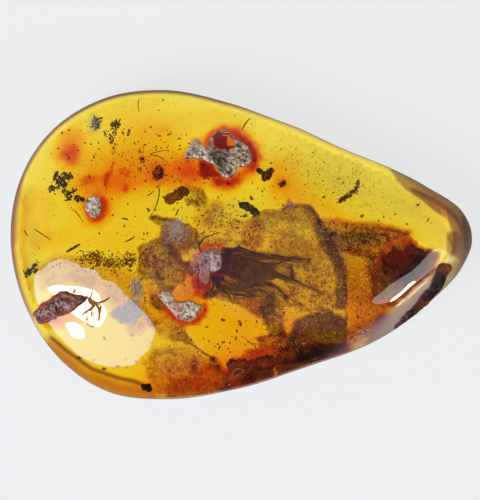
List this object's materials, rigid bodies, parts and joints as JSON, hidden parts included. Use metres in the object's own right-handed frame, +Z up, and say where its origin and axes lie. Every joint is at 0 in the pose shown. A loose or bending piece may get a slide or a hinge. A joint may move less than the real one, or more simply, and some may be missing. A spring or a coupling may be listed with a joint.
{
  "type": "myriapod in amber",
  "caption": "Hand-polished drop of clear amber lying on its flat base, with a long-legged myriapod, plant debris and dust films sealed in it, and crusts in pits in its dome.",
  "frame": {"origin": "on the flat base, under the middle of the drop's length and width", "axes": "+X along the drop to its tip, +Y across it, +Z up from the base to the top of the dome"},
  "size_m": [0.046, 0.0308, 0.0105],
  "materials": {
    "amber": "hand-polished clear amber",
    "crust": "rough grey weathering crust",
    "rust_crust": "rough rust-brown crust",
    "animal": "dark brown cuticle",
    "film": "brown film of fine dust",
    "bark": "near-black bark",
    "plant": "dark olive-brown plant debris"
  },
  "bodies": {
    "root": {"amber_upper": "amber", "amber_lower": "amber", "myriapod": "animal", "film_left": "film", "film_main": "film", "crust_top": "crust", "crust_left": "crust", "crust_centre": "crust", "crust_lower": "crust", "crust_log": "rust_crust", "crust_slit": "rust_crust", "plant_clump": "plant", "debris_clump": "plant", "stem_bit": "bark", "bark_bit": "bark", "halo_grain": "rust_crust", "grey_grain": "crust", "brown_flake": "bark", "dark_flake": "bark", "twig": "plant", "debris_band": "plant", "edge_crumb": "plant", "black_grain": "bark", "bark_lump": "bark", "bark_sliver": "bark"}
  },
  "joints": []
}
